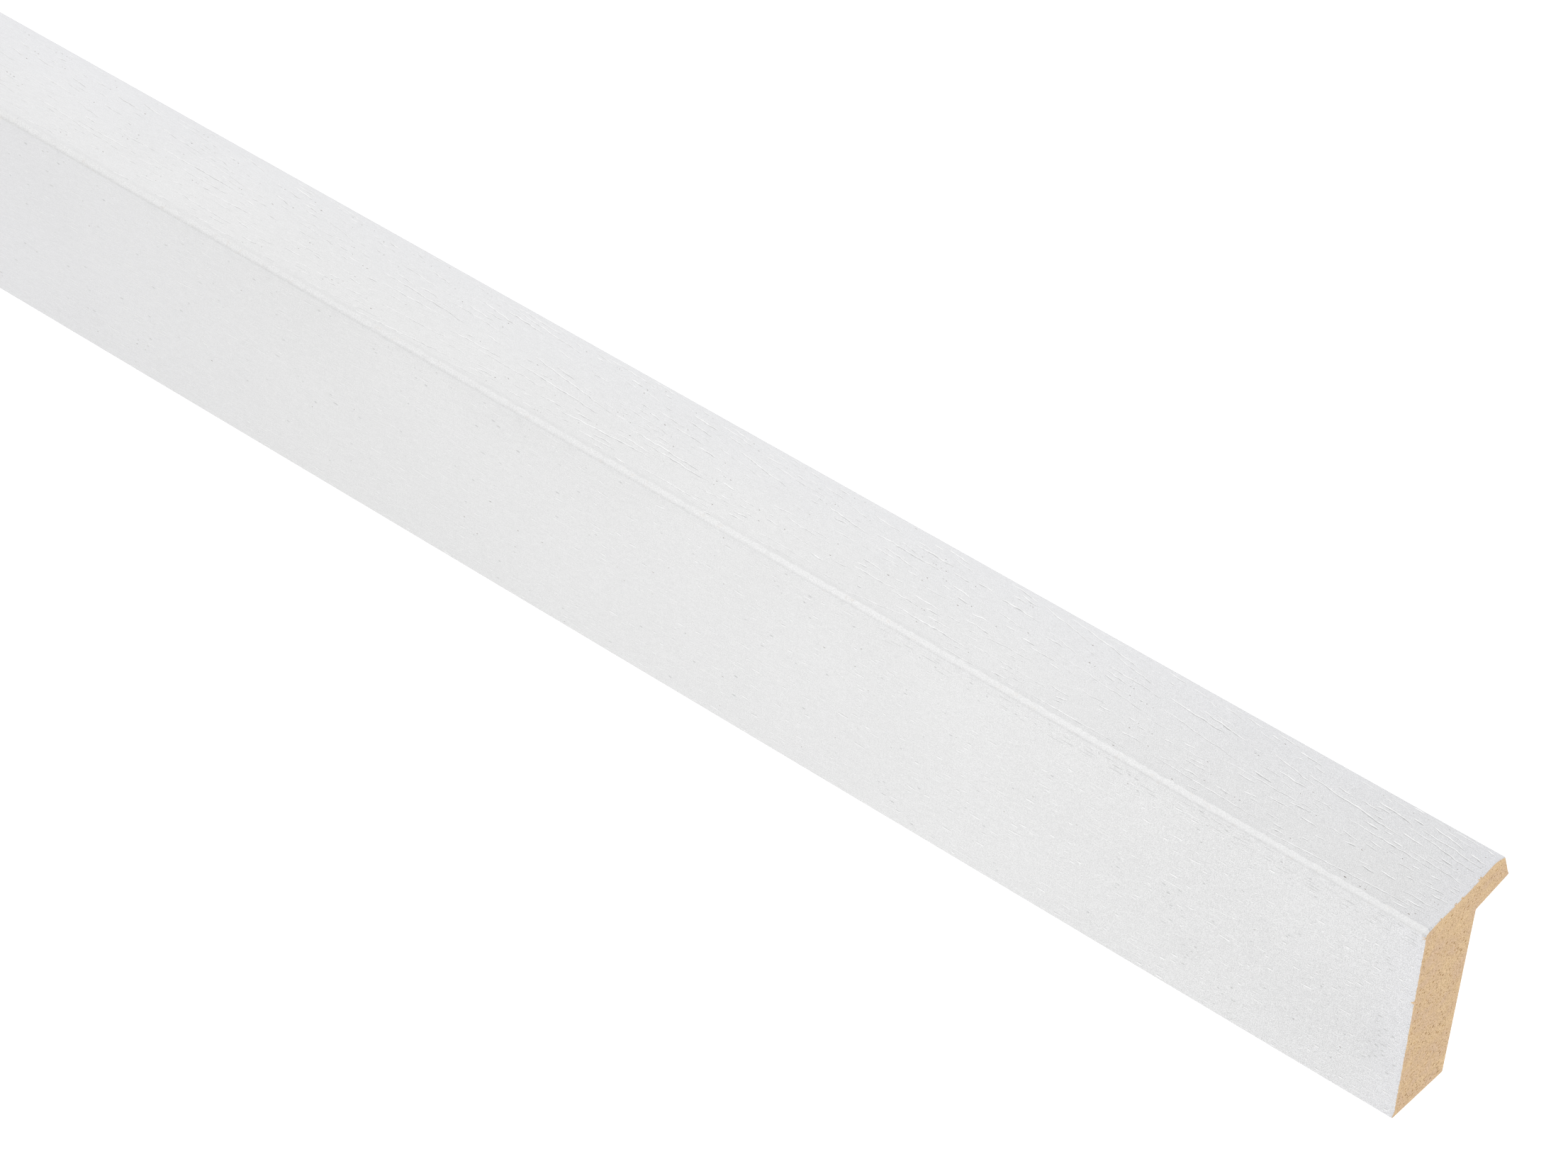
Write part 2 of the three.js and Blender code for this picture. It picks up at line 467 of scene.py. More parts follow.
def cut_side(sheet):
    """Short wide dashes over the outer side, with a few longer lines, unfilled holes and groups of darker
    pores.
    """
    start, end = section.side
    for before_end, height, spread, count in DARK_PORE_GROUPS:
        for _ in range(count):
            x = NEAR - before_end + rng.gauss(0.0, spread)
            begin = (x, end - height + 1.3 * rng.gauss(0.0, spread))
            length, half = draw_size(DARK_PORE_DASH)
            cut_line(sheet, section.side, begin, length, 0.0, half, SIDE_DARK_WALLS, step=0.2)
    for k in range(SIDE_LINES):
        x = rng.uniform(FAR, NEAR)
        half = rng.uniform(*SIDE_LINE.halves) * fade(x)
        if k % 3:
            height = rng.uniform(0.0, end - start)
        else:
            height = rng.choice((rng.gauss(*MIDDLE_BELT), rng.uniform(*FOOT_BELT)))
        heading = math.radians(rng.gauss(0.0, 1.5))
        length = rng.uniform(*SIDE_LINE.lengths)
        begin = (x, end - height)
        cut_line(sheet, section.side, begin, length, heading, half, SIDE_WALLS, sway=0.03)
    for _ in range(SIDE_PIN_HOLES):
        spot = (rng.uniform(FAR, NEAR), rng.uniform(start, end))
        cut_pin_hole(sheet, section.side, spot, rng.uniform(*SIDE_PIN_HALVES), PIN_DEPTH)
    for _ in range(SIDE_SPOTS):
        x = FAR + LENGTH * rng.random() ** 1.4
        spot = (x, start + (end - start) * rng.random() ** 1.6)
        half = rng.uniform(*SPOT_HALVES) - SPOT_LOSS * (x - FAR) / LENGTH
        cut_pin_hole(sheet, section.side, spot, half, SPOT_DEPTH, SIDE_DARK_WALLS)
    for _ in range(EDGE_SCRATCHES):
        x = NEAR - SCRATCH_ZONE[0] * rng.random() ** 1.3
        begin = (x, start + SCRATCH_ZONE[1] * rng.random())
        heading = math.radians(rng.gauss(0.0, 2.0))
        length, half = draw_size(SCRATCH)
        cut_line(sheet, section.side, begin, length, heading, half, SIDE_DARK_WALLS)
    for _ in range(SIDE_DASHES):
        x = NEAR - LENGTH * rng.random() ** 1.35
        half = (DASH_HALF + DASH_GAIN * rng.random() ** 1.5) * fade(x)
        begin = (x, rng.uniform(start, end))
        length = usual_length(*DASH_LENGTHS)
        length *= FAR_STRETCH - STRETCH_LOSS * (x - FAR) / LENGTH
        heading = math.radians(rng.gauss(0.0, 3.0))
        cut_line(sheet, section.side, begin, length, heading, half, SIDE_WALLS, step=0.3)


def cut_bare(sheet):
    """Plain vessel lines on the unpainted rebate and back."""
    spans = (section.wall, section.underside, (0.0, section.v[1]), (section.v[-2], section.end))
    weights = [end - start for start, end in spans]
    for _ in range(BARE_LINES):
        span = rng.choices(spans, weights)[0]
        begin = (rng.uniform(FAR, NEAR), rng.uniform(*span))
        heading = math.radians(rng.gauss(0.0, 1.5))
        length, half = draw_size(BARE_LINE)
        cut_line(sheet, span, begin, length, heading, half, BARE_WALLS, step=0.8)


sheet = Sheet((FAR, 0.0), (NEAR, section.end))
cut_face(sheet)
cut_side(sheet)
cut_bare(sheet)


# The mesh: the unrolled sheet is cut into triangles and rolled back up, then closed with two end caps

LEFT, MIDDLE, RIGHT = 1, 0, -1  # a pore's side towards higher v, its sunken line, its other side
MERGE = 1e-6  # mm, within which the triangulation joins points

Cut = namedtuple("Cut", "places depths sources faces pores sides")
Shell = namedtuple("Shell", "places faces slots groups")


class Drawing:
    """Points and fixed edges for one flat triangulation, with each point's depth and place in its pore."""

    def __init__(self):
        self.points = []
        self.facts = []
        self.edges = []

    def point(self, place, depth=0.0, pore=-1, side=MIDDLE):
        """Adds a point and gives its number."""
        self.points.append(Vector(place))
        self.facts.append((depth, pore, side))
        return len(self.points) - 1

    def chain(self, indices):
        """Fixes the edges along a row of points."""
        self.edges.extend(zip(indices, indices[1:]))

    def add_pore(self, pore, number):
        """A pore's two edges and the sunken line between them."""
        count = len(pore.path) - 1
        path = [Vector(place) for place in pore.path]
        first = self.point(path[0])
        left, right, middle = [first], [first], [first]
        widest = max(pore.halves)
        for k in range(1, count):
            ahead = (path[k + 1] - path[k - 1]).normalized()
            half = Vector((-ahead.y, ahead.x)) * pore.halves[k]
            left.append(self.point(path[k] + half, side=LEFT))
            right.append(self.point(path[k] - half, side=RIGHT))
            bias = pore.bias[0] + (pore.bias[1] - pore.bias[0]) * k / count
            middle.append(self.point(path[k] + half * bias, pore.depth * pore.halves[k] / widest, number))
        last = self.point(path[-1])
        for line in (left, right, middle):
            self.chain(line + [last])

    def triangles(self):
        """The cut-up drawing: each triangle has its pore, or -1, and the side of it on which it lies."""
        points, _, faces, origins, _, _ = delaunay_2d_cdt(self.points, self.edges, [], 1, MERGE)
        sources = np.array([min(origin, default=-1) for origin in origins])
        facts = np.array([self.facts[source] if source >= 0 else (0.0, -1, MIDDLE) for source in sources])
        faces = np.array(faces)
        pores = facts[faces, 1].max(axis=1).astype(int)
        sides = np.sign(facts[faces, 2].sum(axis=1)).astype(int)
        places = np.array([point[:] for point in points])
        return Cut(places, facts[:, 0], sources, faces, pores, sides)


# Plain points over the sheet: spacings along x and between rows, in mm, and their scatter as a share of it
FACE_SPACING = 2.0
BEVEL_SPACING = 0.5
BORDER_SPACING = 4.0
PLAIN_SPACING = 3.0
ROW_GAP = 2.5
SCATTER = 0.25

# Points along the rims of the cut ends, mm apart
RIM_STEP = 0.22
BARE_RIM_STEP = 1.5


def on_bevel(v):
    """Whether a row belongs to the bevel, its borders included."""
    return section.bevel[0] - TOUCH <= v <= section.bevel[1] + TOUCH


def grid_rows():
    """Rows of plain points over the sheet: v, spacing along x, and whether the row is a fixed edge."""
    rows = []
    for v in section.v:
        if section.face[0] + TOUCH < v < section.face[1] - TOUCH:
            rows.append((v, FACE_SPACING, False))
        elif on_bevel(v):
            rows.append((v, BEVEL_SPACING, True))
        else:
            rows.append((v, BORDER_SPACING, True))
    for start, end in zip(section.v, section.v[1:]):
        extra = int((end - start) / ROW_GAP)
        between = [start + (end - start) * k / (extra + 1) for k in range(1, extra + 1)]
        rows += [(v, PLAIN_SPACING, False) for v in between]
    return rows


def rim_places():
    """Where the rims of the cut ends have their points."""
    places = set(np.round(section.v, 5))
    for start, end in zip(section.v, section.v[1:]):
        painted = section.paint_start - TOUCH <= start and end <= section.paint_end + TOUCH
        count = int((end - start) / (RIM_STEP if painted else BARE_RIM_STEP))
        places.update(round(start + (end - start) * k / (count + 1), 5) for k in range(1, count + 1))
    return sorted(places)


# Paint broken back from the saw cut, in mm, and how unevenly, as shares
BREAK_FACE = 0.1
BREAK_EDGE = 0.3
BREAK_SIDE = 0.42
LEAST_BREAK = 0.03
BREAK_UNEVEN = (0.75, 1.15)
CHIP_UNEVEN = (0.5, 1.1)
BARED_SHARE = 0.5  # of a chip, from the cut, that shows the wood

# Chips that show the wood: v, half width and reach in mm, then the tiny ones at odd places
CHIPS = (
    (section.on_face(12.3), 0.3, 0.4),
    (section.on_face(6.8), 0.25, 0.3),
    (section.on_face(3.6), 0.15, 0.22),
    (section.bevel[1] + 0.5, 0.3, 0.5),
    (section.side[0] + 12.0, 0.25, 0.5),
)
TINY_CHIPS = 9
TINY_HALF = 0.12
TINY_REACH = (0.14, 0.26)


def paint_break(v):
    """How far the paint is broken back from the cut."""
    places = (
        section.paint_start, section.paint_start + 0.4, section.on_face(3.0), section.on_face(1.6),
        section.side[0], section.side[1] - 0.5, section.side[1],
    )
    reaches = (0.0, BREAK_FACE, BREAK_FACE, BREAK_EDGE, BREAK_SIDE, BREAK_SIDE, 0.0)
    return float(np.interp(v, places, reaches))


def scatter_chips():
    """Tiny chips at odd places along the painted rim."""
    places = [rng.uniform(section.face[0], section.side[1] - 1.0) for _ in range(TINY_CHIPS)]
    return tuple((place, TINY_HALF, rng.uniform(*TINY_REACH)) for place in places)


chips = CHIPS + scatter_chips()


def chipped(v):
    """The reach of the chip at a place, if there is one."""
    return max([reach for place, half, reach in chips if abs(v - place) < half], default=0.0)


def draw_sheet(sheet, places):
    """The whole unrolled outside, ready for cutting into triangles."""
    drawing = Drawing()
    for number, pore in enumerate(sheet.pores):
        drawing.add_pore(pore, number)
    rims = {}
    for end, inwards in ((FAR, 1.0), (NEAR, -1.0)):
        rim, line = {}, {}
        for v in places:
            reach = paint_break(v) * rng.uniform(*BREAK_UNEVEN)
            rim[v] = drawing.point((end, v), reach)
            back = max(reach, chipped(v) * rng.uniform(*CHIP_UNEVEN)) if end == NEAR else reach
            if back > LEAST_BREAK:
                line[v] = drawing.point((end + inwards * back, v))
        drawing.chain(list(rim.values()))
        drawing.chain(list(line.values()))
        rims[end] = [[rim[v], line[v]] if v in line else [rim[v]] for v in places]
    row_ends = {v: (far, near[::-1]) for v, far, near in zip(places, rims[FAR], rims[NEAR])}
    for v, spacing, fixed in grid_rows():
        count = int(round(LENGTH / spacing))
        row = []
        for k in range(1, count):
            x = FAR + LENGTH * k / count
            if fixed:
                stray = border_sway(x) if on_bevel(v) else 0.0
                row.append(drawing.point((x, v + stray)))
                continue
            x += rng.uniform(-SCATTER, SCATTER) * spacing
            if sheet.free((x, v)) and FAR + END_MARGIN < x < NEAR - END_MARGIN:
                drawing.point((x, v))
        if fixed:
            first, last = row_ends[round(v, 5)]
            drawing.chain(first + row + last)
    return drawing


BEVEL_SWAY = 0.22  # mm by which the bevel's borders sway
BEVEL_WOBBLE = 0.03  # mm, unevenness of the paint along the outer edge
BEVEL_CLEAR = 1.0  # mm at the cut ends where the borders don't sway
BEVEL_EASE = 3.0  # mm over which they start to


def border_sway(x):
    """How far the bevel's rows stray from their places; none near the cut ends."""
    ease = min(1.0, max(0.0, min(x - FAR, NEAR - x) - BEVEL_CLEAR) / BEVEL_EASE)
    broad = noise.noise(Vector((x * 0.6, 5.0, 0.0)))
    fine = noise.noise(Vector((x * 1.9, 2.0, 0.0)))
    return BEVEL_SWAY * ease * (broad + 0.8 * fine)


def bevel_wobble(flat):
    """Depths that make the bevel's borders slightly ragged."""
    start, end = section.bevel
    depths = np.zeros(len(flat))
    for k in np.flatnonzero((flat[:, 1] > start - TOUCH) & (flat[:, 1] < end + TOUCH)):
        x, v = flat[k]
        share = max(0.0, math.sin(math.pi * (v - start) / (end - start))) ** 0.5
        broad = noise.noise(Vector((x * 0.35, v * 0.8, 3.0)))
        fine = noise.noise(Vector((x * 1.3, v * 1.6, 9.0)))
        depths[k] = BEVEL_WOBBLE * share * (broad + 0.7 * fine)
    return depths


def roll_up(flat, depths):
    """Places in mm on the moulding of points on the unrolled sheet, sunk by their depths."""
    place, out = section.at(flat[:, 1])
    rim = np.minimum(flat[:, 0] - FAR, NEAR - flat[:, 0]) < TOUCH
    out[rim] = section.soft_normals(flat[rim, 1])
    return np.column_stack((flat[:, 0], place - out * depths[:, None]))


def wall_slots(pores, numbers, sides):
    """The material of each triangle in a pore."""
    walls = np.array([pore.walls for pore in pores])
    return walls[numbers, np.where(sides >= 0, 0, 1)]


def make_outside(sheet, places):
    """The rolled-up outside, the sheet's points, and the point that stands for each at the seam."""
    flat, depths, _, faces, pores, sides = draw_sheet(sheet, places).triangles()
    middles = flat[faces].mean(axis=1)
    painted = (middles[:, 1] > section.paint_start) & (middles[:, 1] < section.paint_end)
    slots = np.where(painted, FACE_PAINT, BARE_WOOD)
    slots[painted & (middles[:, 1] > section.side[0])] = SIDE_PAINT
    home = middles[:, 1] - np.array([border_sway(x) for x in middles[:, 0]])
    # Painted highlight on the bevel's band, painted light and shade on the edge below it
    slots[(home > section.band[0]) & (home < section.band[1])] = BAND_HIGHLIGHT
    slots[(home > section.edge[0]) & (home < section.edge[1])] = EDGE_LIGHT_AND_SHADE
    broken = (abs(flat[faces, 0]) > NEAR - TOUCH).any(axis=1) & (depths[faces].max(axis=1) > 0.0)
    bared = [middles[k, 0] > NEAR - BARED_SHARE * chipped(middles[k, 1]) for k in np.flatnonzero(broken)]
    slots[np.flatnonzero(broken)[bared]] = END_GRAIN
    inside = pores >= 0
    # Pore walls: painted light on one side of each pore, painted shade on the other
    slots[inside] = wall_slots(sheet.pores, pores[inside], sides[inside])
    groups = np.where(inside, 2 * pores + 2 + (sides < 0), np.where(broken, 1, 0))
    merged = np.arange(len(flat))
    at_seam = {round(flat[k, 0], 4): k for k in np.flatnonzero(flat[:, 1] < TOUCH)}
    for k in np.flatnonzero(flat[:, 1] > section.end - TOUCH):
        merged[k] = at_seam[round(flat[k, 0], 4)]
    solid = roll_up(flat, depths + bevel_wobble(flat))
    solid[:, 1] = np.maximum(solid[:, 1], section.points[:, 0].min())
    return Shell(solid, merged[faces][:, ::-1], slots, groups), flat, merged


# Cut ends: counts, mm kept clear at the rim, mm between plain points, their scatter and depth in mm
NEAR_END_PORES = 1300
FAR_END_PORES = 400
END_STREAKS = 60
END_STREAK = Kind((0.5, 1.3), (0.05, 0.08))
END_TRIES = 8  # for each pore
RIM_MARGIN = 0.75
CAP_SPACING = 0.6
CAP_SCATTER = 0.2
SAW_DEPTH = 0.05

# Growth rings: mm above the back, their tilt there and its spread in degrees
RING_HEIGHTS = (2.0, 5.0, 9.0, 20.0)
RING_TILTS = (2.0, 24.0, 32.0, 24.0)
RING_SPREAD = 8.0
THINNING_HEIGHT = 18.0  # mm above the back from which pores get fewer


def in_outline(places):
    """Which (y, z) places lie in the section."""
    crossings = np.zeros(len(places), int)
    for (ay, az), (by, bz) in zip(section.points, section.points[1:]):
        if az != bz:
            spans = (places[:, 1] < max(az, bz)) & (places[:, 1] >= min(az, bz))
            crossings += spans & (places[:, 0] < ay + (places[:, 1] - az) * (by - ay) / (bz - az))
    return crossings % 2 == 1


def grain_sheet():
    """A sheet over a cut end on which all but the section, less a margin, is taken."""
    start, end = section.points.min(axis=0), section.points.max(axis=0)
    sheet = Sheet(start, end)
    spots = np.indices(sheet.size).reshape(2, -1).T * PATCH + start
    outside = ~in_outline(spots).reshape(sheet.size)
    reach = int(RIM_MARGIN / PATCH)
    spread = np.pad(outside, reach, constant_values=True)
    rows, columns = sheet.size
    for a in range(2 * reach + 1):
        for b in range(2 * reach + 1):
            if math.hypot(a - reach, b - reach) <= reach:
                sheet.taken |= spread[a:a + rows, b:b + columns]
    return sheet, start, end


def ring_tilt(height):
    """Direction of the growth rings across a cut end: level at the back, then rising towards the lip."""
    tilt = float(np.interp(height, RING_HEIGHTS, RING_TILTS))
    return math.radians(tilt + rng.gauss(0.0, RING_SPREAD))


def cut_end_pore(grain, place, length, half, turn):
    """One pore or streak of a cut end."""
    y, z = place
    shares = (-0.5, -0.2, 0.2, 0.5)
    path = [(y + length * share * math.cos(turn), z + length * share * math.sin(turn)) for share in shares]
    return grain.add(Pore(path, [0.0, half, half, 0.0], END_STEEPNESS * half, EVEN, BARE_WALLS))


def cut_end(grain, start, end, pore_count):
    """Pores of a cut end, in crowds and short rows along the growth rings, and streaks near the back."""
    for _ in range(END_STREAKS):
        y, z = rng.uniform(start[0], end[0]), 8.0 * rng.random() ** 1.7
        length, half = draw_size(END_STREAK)
        cut_end_pore(grain, (y, z), length, half, ring_tilt(z))
    for _ in range(END_TRIES * pore_count):
        y, z = rng.uniform(start[0], end[0]), rng.uniform(start[1], end[1])
        broad = noise.noise(Vector((y * 0.22, z * 0.5, 7.0)))
        fine = noise.noise(Vector((y * 0.6, z * 1.3, 2.0)))
        chance = 0.35 + 0.9 * (broad + 0.5 * fine) - 0.02 * max(0.0, z - THINNING_HEIGHT)
        if rng.random() > chance or len(grain.pores) >= pore_count:
            continue
        turn = ring_tilt(z)
        half = rng.uniform(0.055, 0.09) if rng.random() < 0.65 else rng.uniform(0.09, 0.14)
        for _ in range(rng.choice((1, 1, 2, 4))):
            cut_end_pore(grain, (y, z), half * rng.uniform(2.4, 5.0), half, turn)
            ahead = rng.uniform(0.35, 0.6)
            y, z = y + ahead * math.cos(turn), z + ahead * math.sin(turn)


def draw_cap(rim, pore_count):
    """A cut end: its rim, open end-grain pores and plain points between."""
    drawing = Drawing()
    indices = [drawing.point(place) for place in rim]
    drawing.chain(indices + indices[:1])
    grain, start, end = grain_sheet()
    cut_end(grain, start, end, pore_count)
    for number, pore in enumerate(grain.pores):
        drawing.add_pore(pore, number)
    for y in np.arange(start[0], end[0], CAP_SPACING):
        for z in np.arange(start[1], end[1], CAP_SPACING):
            spot = (y + rng.uniform(-CAP_SCATTER, CAP_SCATTER), z + rng.uniform(-CAP_SCATTER, CAP_SCATTER))
            if grain.free(spot):
                drawing.point(spot, rng.uniform(0.0, SAW_DEPTH))
    return drawing, grain.pores


def make_cap(end, pore_count, rim, rim_spots, first_index, first_group):
    """One cut end, joined to the rim's points."""
    outward = 1 if end > 0 else -1
    drawing, grain = draw_cap(rim_spots, pore_count)
    flat, depths, sources, faces, pores, sides = drawing.triangles()
    fresh = (sources < 0) | (sources >= len(rim))
    index = np.array(rim)[np.where(fresh, 0, sources)]
    index[fresh] = first_index + np.arange(fresh.sum())
    places = np.column_stack((end - outward * depths, flat))[fresh]
    inside = pores >= 0
    slots = np.full(len(faces), END_GRAIN)
    slots[inside] = wall_slots(grain, pores[inside], sides[inside])
    groups = first_group + np.where(inside, pores + 1, 0)
    return Shell(places, index[faces][:, ::outward], slots, groups)


def make_mesh():
    """The whole closed mesh, with sharp edges round its pores and cut ends."""
    outside, flat, merged = make_outside(sheet, rim_places())
    shells = [outside]
    for end, pore_count in ((NEAR, NEAR_END_PORES), (FAR, FAR_END_PORES)):
        rim = [k for k in np.flatnonzero(abs(flat[:, 0] - end) < TOUCH) if merged[k] == k]
        rim.sort(key=lambda k: flat[k, 1])
        places = outside.places[rim][:, 1:]
        count = sum(len(shell.places) for shell in shells)
        groups = max(shell.groups.max() for shell in shells) + 1
        shells.append(make_cap(end, pore_count, rim, places, count, groups))
    places = np.vstack([shell.places for shell in shells])
    faces = np.vstack([shell.faces for shell in shells])
    slots = np.concatenate([shell.slots for shell in shells])
    groups = np.concatenate([shell.groups for shell in shells])
    used, faces = np.unique(faces, return_inverse=True)
    faces = faces.reshape(-1, 3)
    mesh = bpy.data.meshes.new("painted_moulding")
    mesh.from_pydata((places[used] * MM).tolist(), [], faces.tolist(), shade_flat=False)
    mesh.polygons.foreach_set("material_index", slots.astype(np.int32))
    mark_sharp(mesh, faces, groups)
    return mesh


def mark_sharp(mesh, faces, groups):
    """Marks the edges between triangles of different groups."""
    count = len(mesh.vertices)
    pairs = np.sort(np.vstack((faces[:, (0, 1)], faces[:, (1, 2)], faces[:, (2, 0)])), axis=1)
    keys = pairs[:, 0] * count + pairs[:, 1]
    owners = np.tile(groups, 3)
    order = np.argsort(keys, kind="stable")
    keys, owners = keys[order], owners[order]
    borders = keys[1:][(keys[1:] == keys[:-1]) & (owners[1:] != owners[:-1])]
    ends = np.empty(2 * len(mesh.edges), np.int32)
    mesh.edges.foreach_get("vertices", ends)
    ends = np.sort(ends.reshape(-1, 2), axis=1).astype(np.int64)
    sharp = np.isin(ends[:, 0] * count + ends[:, 1], borders)
    mesh.attributes.new("sharp_edge", "BOOLEAN", "EDGE").data.foreach_set("value", sharp)
    mesh.update()


# Materials

SPECULAR = 0.35
SKEW = (0.6, 0.4, 0.9)  # turns a pattern's grid away from the flat faces
MIX_A, MIX_B, MIX_RESULT = 6, 7, 2  # colour sockets of a Mix node


def new_material(name, color, roughness):
    """A material with one principled shader."""
    material = bpy.data.materials.new(name)
    material.use_nodes = True
    shader = material.node_tree.nodes["Principled BSDF"]
    shader.inputs["Base Color"].default_value = (*color, 1.0)
    shader.inputs["Roughness"].default_value = roughness
    shader.inputs["Specular IOR Level"].default_value = SPECULAR
    return material, material.node_tree, shader


def coordinates(tree, stretch=(1.0, 1.0, 1.0), place=(0.0, 0.0, 0.0), turn=(0.0, 0.0, 0.0)):
    """Object coordinates from a place, multiplied along each axis and then turned."""
    source = tree.nodes.new("ShaderNodeTexCoord")
    mapping = tree.nodes.new("ShaderNodeMapping")
    mapping.inputs["Scale"].default_value = stretch
    mapping.inputs["Rotation"].default_value = turn
    mapping.inputs["Location"].default_value = [-a * b for a, b in zip(place, stretch)]
    tree.links.new(source.outputs["Object"], mapping.inputs["Vector"])
    return mapping.outputs["Vector"]


def add_noise(tree, vector, size, detail=3.0, rough=0.55):
    """Noise with features of about the given size in mm."""
    texture = tree.nodes.new("ShaderNodeTexNoise")
    texture.inputs["Scale"].default_value = 1.0 / (size * MM)
    texture.inputs["Detail"].default_value = detail
    texture.inputs["Roughness"].default_value = rough
    tree.links.new(vector, texture.inputs["Vector"])
    return texture.outputs["Fac"]


def ramp(tree, factor, *stops):
    """Colours along a factor, given as (position, colour or grey)."""
    node = tree.nodes.new("ShaderNodeValToRGB")
    elements = node.color_ramp.elements
    while len(elements) < len(stops):
        elements.new(0.5)
    for element, (position, color) in zip(elements, stops):
        element.position = position
        element.color = (*color, 1.0) if isinstance(color, tuple) else (color, color, color, 1.0)
    tree.links.new(factor, node.inputs["Fac"])
    return node.outputs["Color"]


def multiply(tree, first, *others, strength=None):
    """Colours multiplied together, by less where a strength is given."""
    for other in others:
        node = tree.nodes.new("ShaderNodeMix")
        node.data_type = "RGBA"
        node.blend_type = "MULTIPLY"
        node.inputs["Factor"].default_value = 1.0
        if strength:
            tree.links.new(strength, node.inputs["Factor"])
        tree.links.new(first, node.inputs[MIX_A])
        tree.links.new(other, node.inputs[MIX_B])
        first = node.outputs[MIX_RESULT]
    return first


def add_bump(tree, shader, height, strength, distance):
    """Fine relief in the shading, its depth in mm."""
    node = tree.nodes.new("ShaderNodeBump")
    node.inputs["Strength"].default_value = strength
    node.inputs["Distance"].default_value = distance * MM
    tree.links.new(height, node.inputs["Height"])
    tree.links.new(node.outputs["Normal"], shader.inputs["Normal"])


def along_length(tree):
    """0 at the far end to 1 at the near end."""
    split = tree.nodes.new("ShaderNodeSeparateXYZ")
    vector = coordinates(tree, (1.0 / (LENGTH * MM), 1.0, 1.0), (FAR * MM, 0.0, 0.0))
    tree.links.new(vector, split.inputs["Vector"])
    return split.outputs["X"]


WARP = 1.2  # how far a smudge's outline strays, as a share of its radii
WARP_RATE = 3.0


def add_smudge(tree, centre, radii, depth):
    """A blotchy darker spot, its centre and radii in mm."""
    shifted = [(value + WARP / 2 * radius) * MM for value, radius in zip(centre, radii)]
    spot = coordinates(tree, [1.0 / (radius * MM) for radius in radii], shifted)
    texture = tree.nodes.new("ShaderNodeTexNoise")
    texture.inputs["Scale"].default_value = WARP_RATE
    tree.links.new(spot, texture.inputs["Vector"])
    moved = tree.nodes.new("ShaderNodeVectorMath")
    moved.operation = "MULTIPLY_ADD"
    moved.inputs[1].default_value = (WARP, WARP, WARP)
    tree.links.new(texture.outputs["Color"], moved.inputs[0])
    tree.links.new(spot, moved.inputs[2])
    ball = tree.nodes.new("ShaderNodeTexGradient")
    ball.gradient_type = "SPHERICAL"
    tree.links.new(moved.outputs["Vector"], ball.inputs["Vector"])
    return ramp(tree, ball.outputs["Fac"], (0.0, 1.0), (0.6, 1.0 - depth))


# Place along the length, tone and share of blue added. Besides the paint's own white, the tones carry
# painted light falloff along the length.
FACE_TONE_AND_PAINTED_FALLOFF = (
    (0.0, 0.73, 0.006), (0.25, 0.732, 0.0), (0.64, 0.739, 0.0), (0.75, 0.731, 0.001),
    (0.84, 0.711, 0.002), (0.91, 0.695, 0.002), (0.975, 0.676, 0.001), (1.0, 0.668, 0.012),
)
SIDE_TONE_AND_PAINTED_FALLOFF = (
    (0.0, 0.722, 0.012), (0.3, 0.727, 0.0), (0.64, 0.73, 0.0), (0.75, 0.725, 0.0),
    (0.84, 0.708, 0.0), (0.91, 0.692, 0.001), (0.975, 0.676, 0.003), (1.0, 0.672, 0.014),
)
# Painted highlight along the bevel's band, and painted light and shade along the edge between it and the
# side
BAND_HIGHLIGHT_TONES = (
    (0.0, 0.712, 0.0), (0.3, 0.715, 0.0), (0.54, 0.752, 0.0), (0.64, 0.778, 0.0),
    (0.84, 0.783, 0.0), (0.91, 0.772, 0.0), (1.0, 0.752, 0.0),
)
EDGE_LIGHT_SHADE_TONES = (
    (0.0, 0.707, 0.0), (0.25, 0.71, 0.0), (0.4, 0.727, 0.0), (0.64, 0.755, 0.0),
    (0.75, 0.74, 0.0), (0.86, 0.713, 0.0), (1.0, 0.707, 0.0),
)

# Place along the length and tone of the pores' walls: painted light on the lit walls, painted shade on the
# shaded walls, and the real colour of the pin holes and end-grain pores
FACE_PAINTED_LIT_TONES = ((0.2, 0.89), (0.5, 0.935), (0.85, 0.95), (1.0, 0.965))
FACE_PAINTED_SHADE_TONES = ((0.25, 0.682), (0.7, 0.682), (0.86, 0.615), (1.0, 0.55))
SIDE_PAINTED_LIT_TONES = ((0.2, 0.83), (0.55, 0.88), (0.87, 0.895), (0.97, 0.85))
SIDE_PAINTED_SHADE_TONES = ((0.35, 0.655), (0.8, 0.59), (1.0, 0.527))
HOLE_SHADES = ((0.15, (0.56, 0.535, 0.51)), (0.9, (0.455, 0.42, 0.39)))
END_BROWN = (0.5, 0.305, 0.13)

# Place along the length and strength of the paint's fine grain
FACE_GRAIN = (
    (0.0, 0.33), (0.2, 0.37), (0.43, 0.44), (0.57, 0.51), (0.71, 0.525), (0.85, 0.715), (1.0, 0.875),
)
SIDE_GRAIN = (
    (0.0, 0.33), (0.3, 0.42), (0.5, 0.47), (0.62, 0.515), (0.72, 0.58), (0.87, 0.855), (1.0, 1.0),
)

# Darker marks on the side: centre and radii in mm, depth
SIDE_MARKS = (
    ((NEAR - 12.0, OUTER, 11.0), (16.0, 8.0, 10.0), 0.02),
    ((NEAR - 4.6, OUTER, 10.2), (3.0, 6.0, 4.6), 0.03),
    ((NEAR - 34.5, OUTER, 8.0), (3.0, 6.0, 2.5), 0.02),
)

